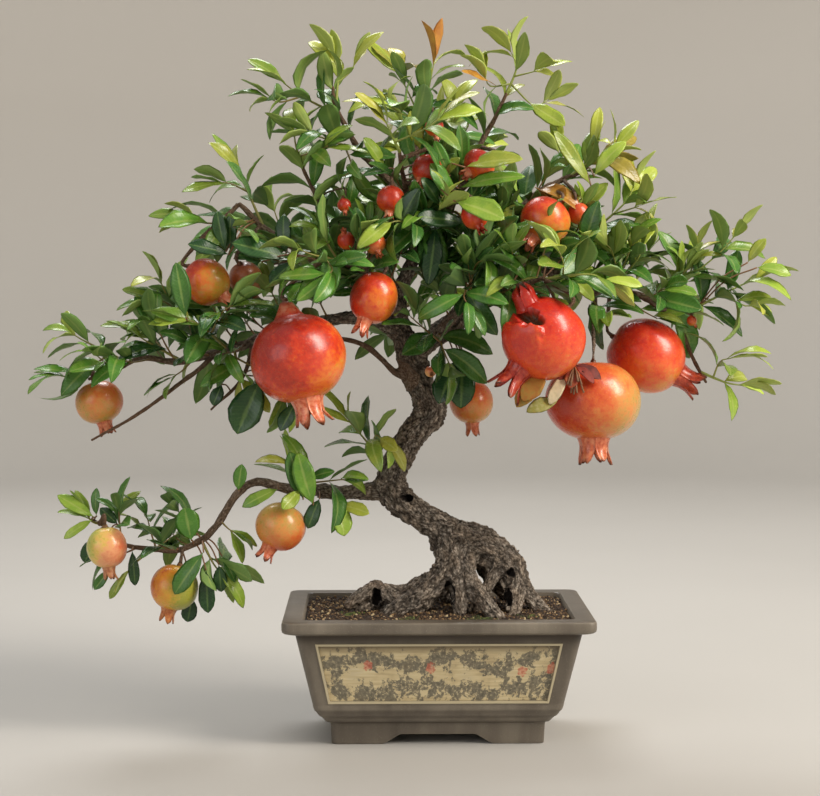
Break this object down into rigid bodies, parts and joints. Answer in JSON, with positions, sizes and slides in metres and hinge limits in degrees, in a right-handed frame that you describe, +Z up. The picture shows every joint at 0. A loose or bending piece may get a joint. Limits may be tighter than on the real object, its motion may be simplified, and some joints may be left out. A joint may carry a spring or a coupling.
{
  "type": "bonsai tree",
  "caption": "Pomegranate bonsai with a leaning trunk on exposed roots, crowned red and orange fruits and small glossy leaves, in a rectangular footed clay pot.",
  "frame": {"origin": "under the middle of the whole tree, on the surface that the pot stands on", "axes": "+X along the length of the pot, to the right of its front; +Y to the back; +Z up the tree"},
  "size_m": [0.7472, 0.3344, 0.7141],
  "materials": {
    "pot_clay": "satin",
    "planting_soil": "matte",
    "screen_mesh": "matte",
    "bark": "matte",
    "leaf": "satin",
    "fruit_red": "gloss",
    "fruit_deep_red": "gloss",
    "fruit_orange": "gloss",
    "fruit_yellow": "gloss",
    "fruit_pale": "gloss",
    "fruit_dull": "gloss"
  },
  "bodies": {
    "root": {"drain_screen_left": "screen_mesh", "drain_screen_right": "screen_mesh", "fruit_behind_trunk": "fruit_orange", "fruit_cascade_low": "fruit_yellow", "fruit_cascade_near": "fruit_orange", "fruit_cascade_tip": "fruit_pale", "fruit_centre_left": "fruit_red", "fruit_left_behind": "fruit_dull", "fruit_left_big": "fruit_red", "fruit_left_tip": "fruit_orange", "fruit_left_upper": "fruit_red", "fruit_open": "fruit_deep_red", "fruit_right_low": "fruit_orange", "fruit_right_red": "fruit_deep_red", "fruit_right_small": "fruit_orange", "fruit_right_upper": "fruit_red", "fruit_small_front": "fruit_orange", "fruit_small_left": "fruit_red", "fruit_split": "fruit_deep_red", "fruit_top": "fruit_red", "fruit_top_left": "fruit_red", "fruit_top_low": "fruit_red", "fruit_top_right": "fruit_red", "leaves_back_left": "leaf", "leaves_back_low": "leaf", "leaves_back_middle": "leaf", "leaves_back_right": "leaf", "leaves_cascade_low": "leaf", "leaves_cascade_mid": "leaf", "leaves_cascade_near": "leaf", "leaves_cascade_tip": "leaf", "leaves_centre_front": "leaf", "leaves_centre_high": "leaf", "leaves_centre_low": "leaf", "leaves_front_left": "leaf", "leaves_left_dense": "leaf", "leaves_left_hanging": "leaf", "leaves_left_middle": "leaf", "leaves_left_point": "leaf", "leaves_left_shoulder": "leaf", "leaves_left_tip": "leaf", "leaves_left_tower": "leaf", "leaves_left_upper": "leaf", "leaves_right_crown": "leaf", "leaves_right_front": "leaf", "leaves_right_low": "leaf", "leaves_right_shoulder": "leaf", "leaves_right_tip": "leaf", "leaves_right_tip_high": "leaf", "leaves_right_upper": "leaf", "leaves_top_centre": "leaf", "leaves_top_front": "leaf", "leaves_top_left": "leaf", "leaves_top_left_side": "leaf", "leaves_top_right": "leaf", "leaves_trunk_left": "leaf", "leaves_upper_left": "leaf", "pot": "pot_clay", "soil": "planting_soil", "trunk": "bark"}
  },
  "joints": []
}
